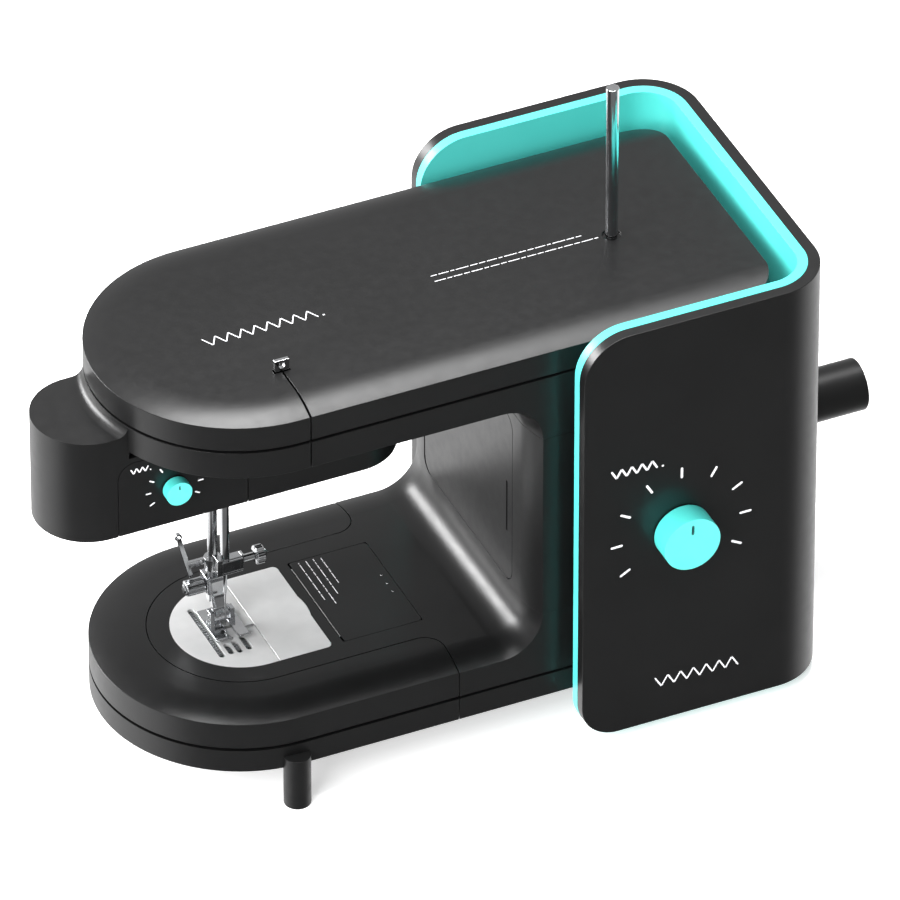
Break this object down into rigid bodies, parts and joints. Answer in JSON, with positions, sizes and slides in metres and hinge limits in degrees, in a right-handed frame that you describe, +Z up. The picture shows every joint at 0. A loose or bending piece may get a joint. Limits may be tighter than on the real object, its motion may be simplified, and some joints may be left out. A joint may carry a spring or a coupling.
{
  "type": "sewing machine",
  "caption": "Compact domestic sewing machine with a free arm, drop-in bobbin and a wrap-around column shell, with its needle, presser, hook and handwheel drive on joints",
  "frame": {"origin": "centre of the overall box in X and Y, on the surface the feet stand on", "axes": "+Z up, +X towards the handwheel, +Y to the back; the operator sits on the -Y side"},
  "size_m": [0.4508, 0.2097, 0.3316],
  "materials": {
    "black_top": "satin moulded black plastic",
    "black_side": "satin moulded black plastic",
    "turquoise": "satin turquoise plastic",
    "knob": "satin turquoise plastic",
    "chrome": "polished chrome",
    "steel": "machined steel",
    "plate": "satin light grey plate",
    "brass": "sintered bronze bush",
    "rubber": "toothed rubber belt",
    "foot": "black rubber foot",
    "frame": "painted steel frame",
    "pulley": "moulded pulley",
    "case": "black moulded bobbin case",
    "clear": "clear bobbin plastic",
    "board": "printed circuit board",
    "motor": "motor can",
    "inlet": "black inlet and rocker plastic"
  },
  "bodies": {
    "root": {"bed_housing": "black_top", "base_pan": "black_side", "column_housing": "black_side", "arm_housing": "black_side", "arm_cover": "black_top", "head_housing": "black_side", "face_plate": "black_side", "outer_shell": "black_side", "shell_liner": "turquoise", "shell_spacers": "steel", "base_feet": "foot", "needle_plate": "plate", "column_frame": "frame", "arm_bracket": "frame", "shaft_bushes": "brass", "bar_guide": "frame", "bobbin_case": "case", "motor": "motor", "belts": "rubber", "circuit_board": "board", "spool_pin": "chrome", "power_inlet": "inlet"},
    "tray": {"tray_base": "black_side", "tray_lid": "black_top", "tray_feet": "foot"},
    "bobbin_cover": {"bobbin_cover": "plate"},
    "compartment_door": {"compartment_door": "black_top"},
    "column_door": {"column_door": "black_side"},
    "drive": {"drive_shaft": "steel", "handwheel": "black_side", "belt_wheel": "pulley", "timing_wheel": "pulley"},
    "arm_drive": {"arm_shaft": "steel", "arm_pulley": "pulley", "crank": "steel"},
    "needle_drive": {"needle_bar": "chrome", "needle_bar_clamp": "steel", "connecting_rod": "steel", "needle_clamp": "chrome", "needle_clamp_screw": "chrome", "needle": "chrome"},
    "presser": {"presser_bar": "chrome", "presser_block": "steel", "presser_spring": "steel", "foot_holder": "chrome", "foot_screw": "chrome"},
    "presser_foot": {"presser_foot": "chrome"},
    "lifter": {"lifter_lever": "steel"},
    "threader": {"needle_threader": "chrome"},
    "take_up": {"take_up_lever": "chrome"},
    "hook_drive": {"hook_shaft": "steel", "hook_pulley": "pulley", "hook_pinion": "brass"},
    "hook": {"rotary_hook": "steel"},
    "bobbin": {"bobbin": "clear"},
    "feed": {"feed_dog": "steel"},
    "motor_rotor": {"motor_pulley": "pulley"},
    "modes_knob": {"modes_knob": "knob"},
    "type_knob": {"type_knob": "knob"},
    "power_switch": {"power_switch": "inlet"}
  },
  "joints": [
    {"name": "tray_slide", "type": "slide", "parent": "root", "child": "tray", "axis": [1, 0, 0], "range_m": [-0.17, 0]},
    {"name": "bobbin_cover_lift", "type": "slide", "parent": "root", "child": "bobbin_cover", "axis": [0, 0, 1], "range_m": [0, 0.02]},
    {"name": "compartment_hinge", "type": "hinge", "parent": "root", "child": "compartment_door", "pos_m": [-0.0745, 0.007, 0.0562], "axis": [0, 1, 0], "range_deg": [-95, 0]},
    {"name": "column_door_hinge", "type": "hinge", "parent": "root", "child": "column_door", "pos_m": [0.0114, 0.0625, 0.127], "axis": [0, 0, 1], "range_deg": [-25, 0]},
    {"name": "handwheel_turn", "type": "hinge", "parent": "root", "child": "drive", "pos_m": [0.166, 0.007, 0.101], "axis": [1, 0, 0], "continuous": true},
    {"name": "arm_shaft_turn", "type": "hinge", "parent": "root", "child": "arm_drive", "pos_m": [-0.016, 0.007, 0.217], "axis": [1, 0, 0], "continuous": true},
    {"name": "needle_bar_slide", "type": "slide", "parent": "root", "child": "needle_drive", "axis": [0, 0, 1], "range_m": [-0.014, 0.015]},
    {"name": "take_up_slide", "type": "slide", "parent": "root", "child": "take_up", "axis": [0, 0, 1], "range_m": [-0.007, 0.0075]},
    {"name": "lifter_turn", "type": "hinge", "parent": "root", "child": "lifter", "pos_m": [-0.1187, 0.026, 0.165], "axis": [1, 0, 0], "range_deg": [0, 55]},
    {"name": "presser_bar_slide", "type": "slide", "parent": "root", "child": "presser", "axis": [0, 0, 1], "range_m": [0, 0.006]},
    {"name": "presser_foot_pivot", "type": "hinge", "parent": "presser", "child": "presser_foot", "pos_m": [-0.1243, 0.0124, 0.0624], "axis": [1, 0, 0], "range_deg": [-3, 3]},
    {"name": "threader_swing", "type": "hinge", "parent": "presser", "child": "threader", "pos_m": [-0.1243, 0.0227, 0.087], "axis": [0, 0, 1], "range_deg": [-30, 60]},
    {"name": "hook_shaft_turn", "type": "hinge", "parent": "root", "child": "hook_drive", "pos_m": [-0.016, 0.007, 0.034], "axis": [1, 0, 0], "continuous": true},
    {"name": "hook_turn", "type": "hinge", "parent": "root", "child": "hook", "pos_m": [-0.0995, 0.007, 0.047], "axis": [0, 0, 1], "continuous": true},
    {"name": "bobbin_turn", "type": "hinge", "parent": "root", "child": "bobbin", "pos_m": [-0.0995, 0.007, 0.049], "axis": [0, 0, 1], "continuous": true},
    {"name": "feed_dog_slide", "type": "slide", "parent": "root", "child": "feed", "axis": [0, 1, 0], "range_m": [-0.0006, 0.0006]},
    {"name": "motor_turn", "type": "hinge", "parent": "root", "child": "motor_rotor", "pos_m": [0.13, 0.052, 0.147], "axis": [1, 0, 0], "continuous": true},
    {"name": "modes_knob_turn", "type": "hinge", "parent": "root", "child": "modes_knob", "pos_m": [0.0805, -0.093, 0.1227], "axis": [0, 1, 0], "range_deg": [-120, 120]},
    {"name": "type_knob_turn", "type": "hinge", "parent": "root", "child": "type_knob", "pos_m": [-0.1627, -0.023, 0.1773], "axis": [0, 1, 0], "range_deg": [-120, 120]},
    {"name": "power_switch_rock", "type": "hinge", "parent": "root", "child": "power_switch", "pos_m": [0.163, -0.015, 0.049], "axis": [0, 1, 0], "range_deg": [0, 16]}
  ],
  "couplings": [
    {"joint": "arm_shaft_turn", "follows": "handwheel_turn", "ratio": 1},
    {"joint": "hook_shaft_turn", "follows": "handwheel_turn", "ratio": 2},
    {"joint": "hook_turn", "follows": "handwheel_turn", "ratio": -2},
    {"joint": "motor_turn", "follows": "handwheel_turn", "ratio": 4},
    {"joint": "take_up_slide", "follows": "needle_bar_slide", "ratio": 0.5},
    {"joint": "lifter_turn", "follows": "presser_bar_slide", "rad_per_m": 159.99}
  ]
}
